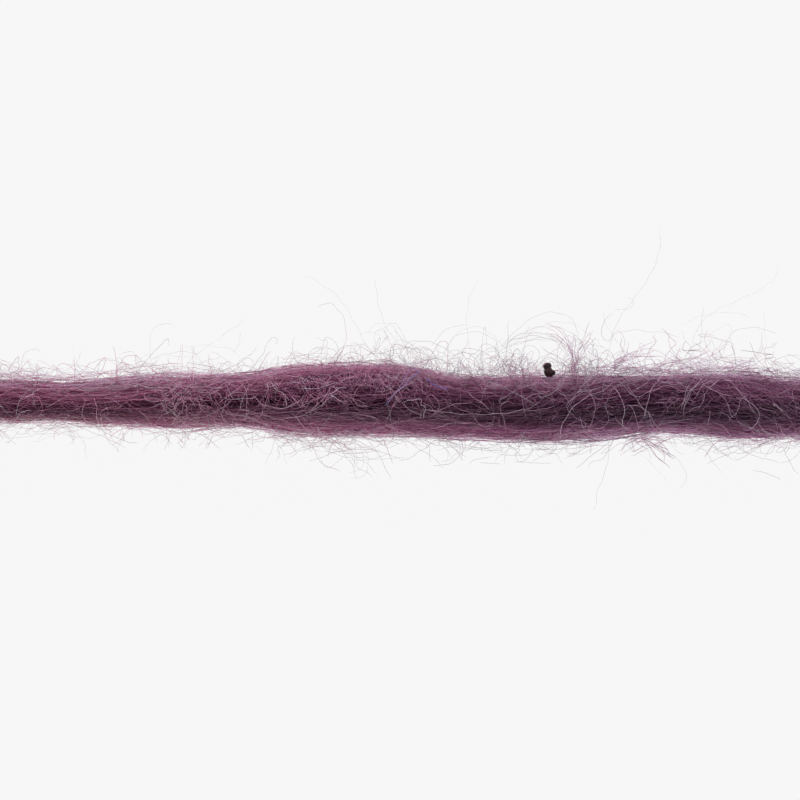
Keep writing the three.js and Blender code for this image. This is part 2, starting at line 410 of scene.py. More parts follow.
# %% Wool materials
HEATHER_TONES = [
    (0.00, "472739"),
    (0.20, "6c4058"),
    (0.40, "8d5876"),
    (0.60, "bd7ca2"),
    (0.80, "e6acca"),
    (0.95, "fcd4e9"),
    (1.00, "6f86e0"),
]
HALO_TONES = [(0.00, "6a5e66"), (0.50, "a2949c"), (0.95, "dacfd5")]
LEFT_CAST = (1.2, 1.0, 1.04, 1.0)
RIGHT_CAST = (0.92, 0.91, 0.98, 1.0)
NEAR_CAST = (0.82, 1.04, 0.9, 1.0)
DRIFT_FROM, DRIFT_TO = -10, 8  # x in millimetres, from the left cast to the right one
CAST_FROM, CAST_FULL, CAST_FADES, CAST_GONE = 0.1, -0.5, -0.75, -1.15  # y of the near cast
STREAK_SHAPE = 25  # how many times as long as wide the noise is
WOOL_SURFACE = {
    "Roughness": 0.72,
    "Specular IOR Level": 0.03,
    "Sheen Weight": 0.2,
    "Sheen Roughness": 0.5,
    "Sheen Tint": linear("e0a8c4"),
    "Subsurface Weight": 1.0,
    "Subsurface Radius": (0.85, 1.0, 0.92),
}


def wool_material(name, tones, streak, depth, contrast):
    """Principled wool. The tones are a ramp over dye, times a cast that drifts along X, times a greyer one
    in a band on the near side, times noise that is stretched along the strand and lightens and darkens
    them by the contrast. Light goes into the wool by about the depth, in millimetres."""
    material, shader = new_material(name, {**WOOL_SURFACE, "Subsurface Scale": depth * MM})
    nodes, links = material.node_tree.nodes, material.node_tree.links
    dye = add_node(nodes, "Attribute", attribute_name="dye")
    ramp = add_ramp(nodes, tones)
    links.new(dye.outputs["Fac"], ramp.inputs["Fac"])
    place = add_node(nodes, "TexCoord")
    parts = add_node(nodes, "SeparateXYZ")
    links.new(place.outputs["Object"], parts.inputs[0])
    drift = add_node(nodes, "MapRange", {"From Min": DRIFT_FROM * MM, "From Max": DRIFT_TO * MM})
    links.new(parts.outputs["X"], drift.inputs["Value"])
    cast = add_node(nodes, "Mix", {"A": LEFT_CAST, "B": RIGHT_CAST}, data_type="RGBA")
    links.new(drift.outputs["Result"], cast.inputs["Factor"])
    tinted = add_node(nodes, "Mix", {"Factor": 1.0}, data_type="RGBA", blend_type="MULTIPLY")
    links.new(ramp.outputs["Color"], tinted.inputs["A"])
    links.new(cast.outputs["Result"], tinted.inputs["B"])
    band = add_node(nodes, "Math", operation="MINIMUM")
    for k, (nothing, full) in enumerate([(CAST_FROM, CAST_FULL), (CAST_GONE, CAST_FADES)]):
        slope = add_node(nodes, "MapRange", {"From Min": nothing * MM, "From Max": full * MM})
        links.new(parts.outputs["Y"], slope.inputs["Value"])
        links.new(slope.outputs["Result"], band.inputs[k])
    greyed = add_node(nodes, "Mix", {"B": NEAR_CAST}, data_type="RGBA", blend_type="MULTIPLY")
    links.new(band.outputs[0], greyed.inputs["Factor"])
    links.new(tinted.outputs["Result"], greyed.inputs["A"])
    across = STREAK_SHAPE * streak
    stretched = add_node(nodes, "Mapping", {"Scale": (streak, across, across)})
    links.new(place.outputs["Object"], stretched.inputs["Vector"])
    noise = add_node(nodes, "TexNoise", {"Scale": 1.0, "Detail": 3.0})
    links.new(stretched.outputs["Vector"], noise.inputs["Vector"])
    strength = add_node(nodes, "MapRange", {"From Min": 0.3, "From Max": 0.7})
    fill(strength, {"To Min": 1 - contrast, "To Max": 1 + contrast})
    links.new(noise.outputs["Fac"], strength.inputs["Value"])
    heathered = add_node(nodes, "VectorMath", operation="SCALE")
    links.new(greyed.outputs["Result"], heathered.inputs[0])
    links.new(strength.outputs["Result"], heathered.inputs["Scale"])
    links.new(heathered.outputs["Vector"], shader.inputs["Base Color"])
    return material


fibre_wool = wool_material("fibre_wool", HEATHER_TONES, 400.0, 0.009, 0.12)
halo_wool = wool_material("halo_wool", HALO_TONES, 400.0, 0.05, 0.15)
body_wool = wool_material("body_wool", HEATHER_TONES, 900.0, 0.15, 0.24)
print("Materials:", fibre_wool.name, halo_wool.name, "and", body_wool.name)

# %% [markdown]
# ## Patches of tone, and painted light at the edges
#
# Where more dark or more pale fibres came together in the drafting, a patch of the strand is darker or
# paler. The table names those patches by their place along the strand and round it, and the body and the
# fibres along it add them to their dye. Towards both edges the wool is thinner, and its dye is painted paler
# there: painted light, for the light that shines through the thin wool at the edges.

# %% Patches of tone and painted edge light
TONE_PATCHES = [
    # x and its spread in millimetres, angle and its spread in degrees, change of dye
    (-11.6, 2.4, 52, 30, 0.52),
    (-11.9, 1.6, 78, 20, 0.24),
    (-13.0, 4.0, 124, 13, -0.32),
    (-13.0, 3.0, 165, 25, -0.2),
    (-9.2, 1.5, 70, 40, 0.2),
    (-8.0, 1.8, 92, 11, -0.22),
    (-9.3, 1.3, 116, 14, 0.12),
    (-6.9, 1.2, 114, 14, 0.22),
    (-4.8, 1.4, 128, 13, 0.14),
    (-7.2, 1.0, 92, 12, -0.16),
    (-4.8, 1.4, 50, 24, 0.1),
    (-4.6, 2.8, 102, 13, -0.48),
    (-1.8, 3.2, 52, 26, -0.2),
    (-0.5, 3.0, 175, 30, -0.12),
    (0.5, 3.0, 104, 14, -0.1),
    (2.4, 1.2, 98, 12, 0.08),
    (3.4, 2.4, 40, 24, 0.2),
    (9.0, 5.0, 12, 18, 0.25),
    (8.0, 4.5, 55, 12, -0.22),
    (6.0, 4.0, 100, 18, -0.1),
    (7.0, 2.6, 172, 28, 0.6),
    (12.0, 4.5, 102, 20, -0.14),
]
# Painted light: how much paler the dye is along the far side and along the near side.
FAR_EDGE_PAINTED_LIGHT, NEAR_EDGE_PAINTED_LIGHT = 0.7, 0.6


def tone_and_painted_edge_light(x, angle):
    """The sum of the patches at x and an angle, each a bell curve over both, and painted light along both
    sides: a paler dye by the square of the angle's cosine."""
    across = np.cos(np.radians(angle))
    total = np.where(across > 0, FAR_EDGE_PAINTED_LIGHT, NEAR_EDGE_PAINTED_LIGHT) * across**2
    for at, spread, middle, round_spread, change in TONE_PATCHES:
        total = total + change * np.exp(-(((x - at) / spread) ** 2) - ((angle - middle) / round_spread) ** 2)
    return total


# %% [markdown]
# ## The body
#
# Between the fibres that can be told apart lie hundreds more. They are one closed surface here: a grid
# that runs along the strand and round it, with the slivers and the combing in its points, and a plain
# cut at each end. The cuts keep one tone, because the patches are only on the outside.

# %% The body
BODY_RINGS = 360
BODY_ROUND = 108
BODY_INSET = 0.24
BODY_SHORT = 0.1  # the body is this much shorter than the fibres round it
BODY_TONE, BODY_PALEST = 0.22, 0.9
BODY_MAP_HEIGHT = 0.9
CUT_MAP_RADIUS = 0.03
CUT_MAP_SPOTS = [(0.15, 0.95), (0.95, 0.95)]


def along_body(count):
    """x at that many places from one end of the body to the other."""
    return np.linspace(-0.5, 0.5, count) * (STRAND_LENGTH - BODY_SHORT)


def make_body():
    """The grid of strand_surface over x and angle, a little under the fibres, closed by two fans."""
    x = along_body(BODY_RINGS + 1)
    angle = np.arange(BODY_ROUND) * 360 / BODY_ROUND
    grid = strand_surface(x[:, None], angle[None], -BODY_INSET)
    y, z, _ = middle_line(x[[0, -1]])
    middles = np.stack([x[[0, -1]], y, z], -1) * MM
    points = np.concatenate([grid.reshape(-1, 3), middles])
    last = BODY_RINGS * BODY_ROUND
    faces = [
        ring_quads(BODY_RINGS, BODY_ROUND),
        turned(fan(len(points) - 2, 0, BODY_ROUND)),
        fan(len(points) - 1, last, BODY_ROUND),
    ]
    wedge = np.radians(angle[:, None] + [0, 0, 360 / BODY_ROUND])
    rim = CUT_MAP_RADIUS * np.array([0, 1, 1])
    cut = np.stack([rim * np.cos(wedge), rim * np.sin(wedge)], -1)
    maps = [
        ring_map(BODY_RINGS, BODY_ROUND) * [1, BODY_MAP_HEIGHT],
        (turned(cut) + CUT_MAP_SPOTS[0]).reshape(-1, 2),
        (cut + CUT_MAP_SPOTS[1]).reshape(-1, 2),
    ]
    body = new_mesh("yarn_body", points, faces, np.concatenate(maps))
    tones = np.full(len(points), BODY_TONE)
    # The outside takes the patches of tone and the painted light along both edges.
    tones[BODY_ROUND:last] += tone_and_painted_edge_light(x[1:-1, None], angle[None]).ravel()
    set_dye(body, np.clip(tones, 0, BODY_PALEST))
    body.data.materials.append(body_wool)
    print("yarn_body has", 2 * BODY_ROUND * (BODY_RINGS + 1), "triangles")
    return body


yarn_body = make_body()

# %% [markdown]
# ## Fibres along the strand
#
# These are the combed fibres that make up the slivers. Each starts somewhere on the strand, follows the
# surface for some millimetres with a little wander round it, and dips under the others at both ends.
# There are so many that they are two pieces.

# %% Lay fibres
LAY_STEPS = 12
LAY_COUNT = 2500
LAY_LENGTH = (5, 12)
LAY_BEFORE, LAY_LEAST = 3, 1  # how far before one cut a fibre may begin, and how far from the other
LAY_DEPTH = 0.27
LAY_THINNING = 0.07
LAY_SLOPE = 1.6  # degrees for each millimetre
LAY_WANDER = (2.0, 14.0)  # degrees at the depth, and more for each millimetre outwards
LAY_WAVE = (0.01, 0.12)  # the same for the lift, in millimetres
LAY_THICKNESS = (0.014, 0.024)
ROOT_DEPTH = 0.08
# The second number is painted shade: it paints fibres deep in the strand darker, and those further out
# paler, by how far out they lie.
DEEP_DYE, PAINTED_DEPTH_SHADE, DYE_SPREAD = 0.29, 0.41, 0.045


def lay_fibres(name, seed, count):
    """Paths on the surface: x grows evenly, the angle follows the twist plus a slope and slow noise, and the
    lift is a smooth random height less a dip at the ends. Fibres get fewer outwards, by e for each
    LAY_THINNING, so the strand's edge is soft. Those further out get a paler dye and those deeper a darker
    one: painted shade, for the shade that falls deep in the strand."""
    rng = np.random.default_rng(seed)
    length = rng.uniform(*LAY_LENGTH, count)
    start = rng.uniform(-HALF_LENGTH - LAY_BEFORE, HALF_LENGTH - LAY_LEAST, count)
    t = np.linspace(0, 1, LAY_STEPS)
    x_from = np.maximum(start, -HALF_LENGTH)[:, None]
    x_to = np.minimum(start + length, HALF_LENGTH)[:, None]
    x = x_from + (x_to - x_from) * t
    turn = rng.uniform(0, 360, count)[:, None] + TWIST_PER_MM * x
    slope = rng.normal(0, LAY_SLOPE, count)[:, None] * (t - 0.5)
    out = np.minimum(rng.exponential(LAY_THINNING, (count, 1)), LAY_DEPTH)
    wander = LAY_WANDER[0] + LAY_WANDER[1] * out
    turn = turn + slope * length[:, None] + wander * smooth_noise(rng, count, LAY_STEPS, 3)
    wave = LAY_WAVE[0] + LAY_WAVE[1] * out
    height = out - LAY_DEPTH + wave * smooth_noise(rng, count, LAY_STEPS, 4)
    height = height - ROOT_DEPTH * near_ends(LAY_STEPS, 1 / 7)
    paths = strand_surface(x, turn, height) / MM
    thickness = rng.uniform(*LAY_THICKNESS, count)
    middle = LAY_STEPS // 2
    # Painted shade: the deeper a fibre lies, the darker its dye.
    dye = DEEP_DYE + PAINTED_DEPTH_SHADE * out[:, 0] + rng.normal(0, DYE_SPREAD, count)
    # Patches of tone, and painted light along both sides of the strand.
    dye = dye + tone_and_painted_edge_light(x[:, middle], turn[:, middle] % 360)
    return fibres(name, paths, thickness, np.clip(dye, 0, PALEST), fibre_wool)


lay_pieces = [lay_fibres("fibres_one", 21, LAY_COUNT), lay_fibres("fibres_two", 22, LAY_COUNT)]

# %% [markdown]
# ## Loose fibres
#
# Wool fibres are crimped, and a soft ply holds them loosely, so they work out of the strand. Some lie on
# it at all angles, some arch or curl and come back, and some end in the air. All three kinds are one
# walk: the fibre has a heading, which turns about an axis of its own, and the path is the running sum of
# the heading. The walk goes on along the strand, round it and away from it at once.

# %% Walks round the strand
CRIMP_WAVE = 0.9
CRIMP_ANGLE = 13.0
CRIMP_RANGE = (0.3, 1.3)
LOOSE_DEPTH = 0.24
LOOSE_THINNING = 0.08
OUTWARDS = np.array([[0.0, 0.0, 1.0]])


def walk(rng, way, rise, length, lean, bend, curl, steps):
    """Paths of loose fibres in millimetres, as distances along the strand, round it and away from it. The
    heading starts `way` degrees from the X axis and `rise` degrees off the surface. It turns about an
    axis square to that, the part of `lean` that is, by `bend` over the fibre, by noise as strong as
    `curl` and by the crimp's sine wave: v turned about a by p is v cos p + (a x v) sin p."""
    count = len(way)
    way, rise = np.radians(way), np.radians(rise)
    first = np.stack([np.cos(way) * np.cos(rise), np.sin(way) * np.cos(rise), np.sin(rise)], -1)
    t = np.linspace(0, 1, steps)
    crimp = np.sin(2 * np.pi * (length[:, None] * t / CRIMP_WAVE + rng.random((count, 1))))
    crimp = CRIMP_ANGLE * rng.uniform(*CRIMP_RANGE, (count, 1)) * crimp
    noise = smooth_noise(rng, count, steps, 4) * curl[:, None]
    turn = np.radians(bend[:, None] * t + noise + crimp)[..., None]
    axis = unit(lean - first * (lean * first).sum(-1, keepdims=True))
    heading = first[:, None] * np.cos(turn) + np.cross(axis, first)[:, None] * np.sin(turn)
    return np.cumsum(heading, 1) * (length / (steps - 1))[:, None, None]


def between_ends(x):
    """x of each path, slid along until the whole path lies between the two cut ends."""
    past = x.max(1, keepdims=True) - HALF_LENGTH
    short = -HALF_LENGTH - x.min(1, keepdims=True)
    return x - np.maximum(past, 0) + np.maximum(short, 0)


def walk_points(x, angle, around, away):
    """The walk's points: the running distance round the strand becomes an angle, by the radius at that
    height, and the distance away is added to the radius."""
    x = between_ends(x)
    y, z, radius = middle_line(x)
    reach = radius + np.maximum(away, -LOOSE_DEPTH)
    turn = np.radians(angle)[:, None] + around / np.maximum(reach, 0.5)
    return np.stack([x, y + reach * np.cos(turn), z + reach * np.sin(turn)], -1)


# %% Fibres that lie on the strand
WILD_STEPS = 16
WILD_BEND, WILD_CURL, WILD_WAVE = 30, 12, 0.02
WILD_TONE_SPREAD = 0.09
WILD_THICKNESS = (0.014, 0.022)
# The tones are set paler than those of the fibres beneath: painted light, for fibres that stand proud of the
# strand and catch the light.
WILD_GROUPS = [
    # count, x from and to, angle from and to, heading and its spread, length from and to, tone
    (400, -18, 18, -15, 195, 0, 10, 2.5, 6.0, 0.5),
    (260, -18, 18, -20, 200, 0, 34, 1.5, 4.0, 0.46),
    (90, -9.3, -5.8, 30, 90, 0, 60, 0.8, 1.8, 0.76),
    (290, -5.6, 1.4, 3, 80, 50, 20, 0.5, 1.4, 0.82),
    (230, -5.6, 1.4, 3, 80, -42, 20, 0.5, 1.4, 0.82),
    (110, -6.0, 4.0, 114, 165, 14, 14, 1.0, 2.8, 0.7),
    (50, -6.0, 4.0, 114, 165, -24, 14, 0.8, 2.0, 0.7),
    (110, 5.2, 8.6, 60, 140, -26, 10, 1.0, 2.4, 0.5),
    (150, 12.8, 15.8, 24, 100, 38, 14, 1.0, 2.4, 0.64),
    (100, -9.5, -5.5, 120, 170, 5, 20, 1.0, 2.5, 0.66),
    (120, -18, -10, 20, 100, 0, 25, 1.5, 4.0, 0.68),
]


def make_wild():
    """Every group's fibres start evenly spread over its patch. Like those along the strand they get fewer
    outwards, but they begin further out."""
    rng = np.random.default_rng(31)
    paths, tones = [], []
    for count, x_from, x_to, angle_from, angle_to, heading, spread, short, long, tone in WILD_GROUPS:
        x = rng.uniform(x_from, x_to, count)
        angle = rng.uniform(angle_from, angle_to, count)
        way = heading + rng.normal(0, spread, count) + 180 * rng.integers(0, 2, count)
        length = rng.uniform(short, long, count)
        bend = rng.normal(0, WILD_BEND, count)
        flat, curl = np.zeros(count), np.full(count, WILD_CURL)
        steps = walk(rng, way, flat, length, OUTWARDS, bend, curl, WILD_STEPS)
        lift = LOOSE_THINNING * rng.exponential(1, (count, 1)) - LOOSE_DEPTH
        lift = lift + WILD_WAVE * smooth_noise(rng, count, WILD_STEPS, 3)
        lift = lift - ROOT_DEPTH * near_ends(WILD_STEPS, 1 / 8)
        paths.append(walk_points(x[:, None] + steps[..., 0], angle, steps[..., 1], lift))
        tones.append(dyes_about(rng, tone, WILD_TONE_SPREAD, count))
    paths, tones = np.concatenate(paths), np.concatenate(tones)
    return fibres("fibres_wild", paths, rng.uniform(*WILD_THICKNESS, len(paths)), tones, fibre_wool)


wild_piece = make_wild()

# %% The halo
HALO_STEPS = 16
HALO_THICKNESS = (0.011, 0.018)
HALO_TONE, HALO_TONE_SPREAD = 0.66, 0.14
HALO_LEAST_RISE, HALO_MOST_RISE = -10, 85
BEND_RANGE, CURL_RANGE = (0.4, 1.4), (0.3, 1.6)
FLECK_SPOT = np.array([5.9, 1.2])
FLECK_CLEARANCE = 0.26
TOP_FROM, TOP_TO = 25, 155  # degrees round the strand
VEIL_STAND = 0.2  # groups that stand further off are the veil
HALO_GROUPS = [
    # count, x from and to, angle from and to, rise and its spread, length from and to, heading spread,
    # bend, curl, stand
    (150, -18, 18, -50, 25, 4, 8, 1.0, 3.5, 20, 50, 20, 0.06),
    (200, -18, 18, 155, 230, 4, 8, 1.0, 3.5, 20, 50, 20, 0.1),
    (160, -8, 5, 160, 200, 4, 8, 1.0, 3.0, 20, 50, 20, 0.16),
    (480, -18, 18, -50, 25, 20, 20, 0.5, 2.0, 40, 200, 40, 0.0),
    (480, -18, 18, 155, 230, 20, 20, 0.5, 2.0, 40, 200, 40, 0.0),
    (260, -18, 18, 25, 155, 12, 12, 0.8, 2.6, 40, 120, 30, 0.0),
    (160, -18, 18, -30, 40, 40, 20, 1.5, 3.0, 60, 280, 40, 0.0),
    (80, -3.0, 3.5, -10, 40, 50, 20, 2.0, 4.0, 70, 330, 40, 0.0),
    (180, 3.6, 8.5, -5, 50, 50, 20, 2.0, 4.0, 60, 330, 40, 0.0),
    (130, 7.0, 18, -22, 12, 4, 8, 1.2, 3.2, 25, 130, 40, 0.22),
]


def off_the_fleck(paths):
    """Whether each path keeps off the spot where the plant fleck shows, seen from above."""
    return (np.linalg.norm(paths[..., :2] - FLECK_SPOT, axis=-1) > FLECK_CLEARANCE).all(1)


def make_halo():
    """Fibres that stand off the strand. Each starts at a height that is often small and seldom as large
    as twice its group's stand. It rises and curls about an axis square to its first heading."""
    rng = np.random.default_rng(41)
    paths, roots, stands = [], [], []
    for row in HALO_GROUPS:
        count, x_from, x_to, angle_from, angle_to, rise, rise_spread = row[:7]
        short, long, heading_spread, bend_spread, curl, stand = row[7:]
        x = rng.uniform(x_from, x_to, count)
        angle = rng.uniform(angle_from, angle_to, count)
        length = rng.uniform(short, long, count)
        way = rng.normal(0, heading_spread, count) + 180 * rng.integers(0, 2, count)
        up = np.clip(rng.normal(rise, rise_spread, count), HALO_LEAST_RISE, HALO_MOST_RISE)
        bend = bend_spread * rng.uniform(*BEND_RANGE, count)
        curls = curl * rng.uniform(*CURL_RANGE, count)
        lean = rng.normal(0, 1, (count, 3))
        steps = walk(rng, way, up, length, lean, bend, curls, HALO_STEPS)
        away = np.maximum(steps[..., 2], 0) - LOOSE_DEPTH
        away = away + (stand + LOOSE_THINNING) * rng.exponential(1, (count, 1))
        paths.append(walk_points(x[:, None] + steps[..., 0], angle, steps[..., 1], away))
        roots.append(angle)
        stands.append(np.full(count, stand))
    paths, roots, stands = np.concatenate(paths), np.concatenate(roots), np.concatenate(stands)
    clear = off_the_fleck(paths)
    paths, roots, veil = paths[clear], roots[clear], stands[clear] > VEIL_STAND
    tones = dyes_about(rng, HALO_TONE, HALO_TONE_SPREAD, len(paths))
    thickness = rng.uniform(*HALO_THICKNESS, len(paths))
    return [
        fibres(name, paths[chosen], thickness[chosen], tones[chosen], finish)
        for name, chosen, finish in (
            ("halo_top", (roots > TOP_FROM) & (roots < TOP_TO), fibre_wool),
            ("halo_far", (roots <= TOP_FROM) & ~veil, halo_wool),
            ("halo_veil", veil, fibre_wool),
            ("halo_near", roots >= TOP_TO, halo_wool),
        )
    ]


halo_pieces = make_halo()

# %% [markdown]
# ## Fibres that the eye picks out
#
# A few dozen fibres can be followed one by one in the photograph. Each is a row: where it starts, how
# long it is, and its heading at the start, in the middle and at the end, with 0 along X and 90 towards
# +Y. A curve through three headings is enough for an arch, a hook or a loop. Fibres that lie on the
# strand ride over its back, and beyond it they keep a height of their own. Where the wool has been
# rubbed, hundreds of short fibres lie in a tangle, and their rows are drawn at random within a patch.

# %% Fibres laid over the strand
LONG_ON_STRAND = [
    # x, y, length, heading at the start, middle and end, tone
    (6.40, -1.60, 3.3, 97, 38, 36, 0.8),
    (6.55, -0.39, 2.2, 80, 20, 6, 0.85),
    (8.34, 0.57, 1.76, -36, -85, -62, 0.8),
    (8.91, -0.18, 1.2, -20, -68, -80, 0.75),
    (8.98, -0.22, 1.2, 10, -45, -150, 0.75),
    (7.26, 0.89, 2.05, -68, -78, -130, 0.7),
    (8.05, -0.18, 1.25, -58, -100, -195, 0.7),
    (8.98, 0.78, 2.6, -68, -55, -38, 0.75),
    (9.60, 0.24, 1.66, 18, 12, -52, 0.7),
    (11.10, -0.48, 2.84, 92, 40, -28, 0.8),
    (11.96, 0.74, 1.3, -70, -20, -16, 0.75),
    (12.56, 0.27, 1.17, -30, -72, -25, 0.75),
    (13.17, 0.09, 2.3, -10, -70, -210, 0.8),
    (10.92, 0.84, 1.0, -44, -36, -28, 0.75),
    (12.20, -0.37, 0.66, -84, -90, -104, 0.7),
    (12.35, -0.91, 1.0, -5, -40, -42, 0.75),
    (9.82, -0.37, 1.2, -88, -60, -32, 0.75),
    (4.80, 0.50, 1.83, 8, 34, 0, 0.75),
    (4.80, -0.04, 1.15, 28, 17, 19, 0.75),
    (-4.80, 1.09, 2.7, -6, -18, 0, 0.8),
    (-6.96, 0.05, 1.2, 0, 3, 8, 0.8),
    (-5.76, 0.16, 2.2, -50, 0, 50, 0.85),
    (-3.98, 0.42, 1.5, 4, 10, 20, 0.85),
    (-4.80, -0.80, 2.65, 9, 24, 48, 0.8),
    (-3.62, -0.58, 1.4, 48, 46, 60, 0.75),
    (-2.52, 0.42, 1.24, -40, -24, -21, 0.7),
    (0.80, 0.96, 1.66, 220, 212, 228, 0.85),
    (-0.26, 0.24, 1.36, -54, -38, -28, 0.75),
    (-1.88, -0.62, 1.03, 18, -8, -50, 0.8),
    (-1.94, -0.66, 0.72, -6, -14, -34, 0.75),
    (-0.84, -1.12, 1.55, 40, 8, 22, 0.75),
    (-0.52, -0.94, 1.44, -30, -28, 8, 0.75),
    (-0.58, -0.94, 1.2, 88, 60, 75, 0.75),
    (1.00, 0.88, 1.0, -34, -30, 0, 1.0),
    (0.54, 1.27, 0.36, -45, -45, -45, 0.99),
    (-0.04, 0.44, 0.97, 60, 60, 60, 0.98),
    (-0.68, -0.28, 2.0, 49, 45, 40, 0.98),
    (0.96, -1.26, 2.9, 22, 3, -22, 0.8),
    (3.75, -1.02, 1.22, -4, -14, -24, 0.75),
    (0.64, -0.44, 4.9, 3, -2, 27, 0.75),
    (3.82, -0.07, 1.98, 40, 24, 2, 0.8),
    (2.68, 0.34, 1.15, -47, -38, -32, 0.75),
    (-8.64, -0.92, 2.2, 14, 22, 46, 0.8),
    (-6.96, 0.66, 0.72, -62, -58, -48, 0.8),
    (-6.43, 0.76, 1.7, -46, -85, -112, 0.75),
    (-7.04, -0.56, 1.84, 5, -16, -26, 0.8),
    (-7.96, 0.75, 1.04, -14, 14, -10, 0.8),
    (-12.56, 0.16, 1.08, -84, -104, -30, 0.7),
    (-12.20, 0.16, 1.04, -72, -84, -108, 0.7),
    (-14.16, -0.32, 1.86, 28, 20, 9, 0.7),
    (-11.72, -0.68, 0.6, -15, -22, -20, 0.7),
    (-10.40, -0.44, 0.8, -30, -50, -70, 0.75),
]
LONG_STEPS = 28
LONG_THICKNESS = (0.015, 0.021)
LONG_LIFT, LONG_LEVEL = (-0.02, 0.06), -0.2
LONG_PALER = 0.12
BLUE_THICKNESS = 0.028
HEADED_CRIMP, HEADED_NOISE = 9, 4  # degrees


def headed_paths(rng, rows, steps):
    """x and y of fibres from their rows: the heading is the parabola through its three values, plus
    crimp, and the point is the running sum of the heading's cosine and sine."""
    x, y, length, begin, middle, end = (column[:, None] for column in rows.T)
    t = np.linspace(0, 1, steps)
    heading = begin * (1 - t) * (1 - 2 * t) + 4 * middle * t * (1 - t) + end * t * (2 * t - 1)
    crimp = np.sin(2 * np.pi * (length * t / CRIMP_WAVE + rng.random((len(rows), 1))))
    noise = smooth_noise(rng, len(rows), steps, 5)
    heading = np.radians(heading + HEADED_CRIMP * crimp + HEADED_NOISE * noise)
    step = length / (steps - 1)
    return x + np.cumsum(np.cos(heading), 1) * step, y + np.cumsum(np.sin(heading), 1) * step


def ride_over(x, y, lift, level):
    """The height of a fibre at x and y: the strand's round back plus the lift, or its own level above
    the middle line where that is higher."""
    middle, z, radius = middle_line(x)
    share = np.clip((y - middle) / radius, -1, 1)
    return np.maximum(z + radius * np.sqrt(1 - share**2) + lift, z + level)


def tucked(x, y, lift, level):
    """Paths that ride over the strand, with both ends tucked in by ROOT_DEPTH."""
    z = ride_over(x, y, lift, level) - ROOT_DEPTH * near_ends(x.shape[1], 1 / 12)
    return np.stack([x, y, z], -1)


def make_long_on_strand():
    """The table's fibres. The blue ones are a little thicker, and the others paler by LONG_PALER."""
    rng = np.random.default_rng(51)
    rows = np.array(LONG_ON_STRAND)
    blue = rows[:, 6] > PALEST
    x, y = headed_paths(rng, rows[:, :6], LONG_STEPS)
    paths = tucked(x, y, rng.uniform(*LONG_LIFT, (len(rows), 1)), LONG_LEVEL)
    tones = np.where(blue, rows[:, 6], np.minimum(rows[:, 6] + LONG_PALER, PALEST))
    thickness = np.where(blue, BLUE_THICKNESS, rng.uniform(*LONG_THICKNESS, len(rows)))
    return fibres("fibres_long", paths, thickness, tones, fibre_wool)


long_piece = make_long_on_strand()

# %% Tangles
TANGLES = [
    # count, x from and to, y from and to, heading and its spread, length from and to, bend, tone
    (80, -17.0, -12.4, 0.8, 1.02, 0, 9, 0.4, 1.8, 22, 0.92),
    (50, -12.4, -8.0, 0.95, 1.12, 0, 10, 0.4, 1.4, 22, 0.9),
    (80, -17.0, -10.5, -1.0, -0.84, 0, 9, 0.4, 1.6, 20, 0.84),
    (60, -11.0, -6.0, -1.16, -1.02, 0, 9, 0.4, 1.6, 20, 0.84),
    (50, -5.0, -1.0, -1.5, -1.36, 0, 9, 0.4, 1.6, 20, 0.84),
    (50, -9.2, -7.8, -0.5, 0.45, 35, 60, 0.5, 1.3, 45, 0.92),
    (40, -10.4, -8.4, 0.5, 0.85, 2, 14, 0.8, 1.8, 20, 0.92),
    (46, -8.6, -5.6, 0.1, 1.0, -40, 40, 0.5, 1.2, 45, 0.8),
    (90, 8.0, 13.5, 0.9, 1.35, 8, 8, 0.8, 2.4, 22, 0.93),
    (24, 13.0, 17.5, 0.9, 1.15, 0, 9, 0.8, 2.4, 22, 0.93),
    (40, 3.6, 6.4, 0.95, 1.2, 0, 12, 0.5, 1.6, 30, 0.93),
    (60, 8.2, 11.2, -1.6, -1.4, 8, 10, 0.5, 1.8, 20, 0.9),
    (90, 13.2, 17.5, -1.66, -1.44, 0, 9, 0.5, 2.0, 20, 0.86),
    (40, 10.2, 13.4, 0.95, 1.35, 4, 9, 0.8, 2.4, 22, 0.93),
]
TANGLE_STEPS = 16
TANGLE_LIFT, TANGLE_LEVEL = (-0.12, 0.05), (-0.4, 0.4)
TANGLE_TONE_SPREAD = 0.1
TANGLE_THICKNESS = (0.012, 0.019)


def make_tangles():
    """Short fibres in patches, most of them where the wool has been rubbed, and along its edges. They
    turn by the bend and half as much again."""
    rng = np.random.default_rng(71)
    rows, tones = [], []
    for count, x_from, x_to, y_from, y_to, heading, spread, short, long, bend, tone in TANGLES:
        begin = heading + rng.normal(0, spread, count) + 180 * rng.integers(0, 2, count)
        middle = begin + rng.normal(0, bend, count)
        end = middle + rng.normal(0, 1.5 * bend, count)
        start = [rng.uniform(x_from, x_to, count), rng.uniform(y_from, y_to, count)]
        rows.append(np.stack([*start, rng.uniform(short, long, count), begin, middle, end], -1))
        tones.append(dyes_about(rng, tone, TANGLE_TONE_SPREAD, count))
    rows, tones = np.concatenate(rows), np.concatenate(tones)
    x, y = headed_paths(rng, rows, TANGLE_STEPS)
    lift = rng.uniform(*TANGLE_LIFT, (len(rows), 1))
    level = rng.uniform(*TANGLE_LEVEL, (len(rows), 1))
    paths = tucked(between_ends(x), y, lift, level)
    return fibres("tangles", paths, rng.uniform(*TANGLE_THICKNESS, len(rows)), tones, fibre_wool)


tangle_piece = make_tangles()

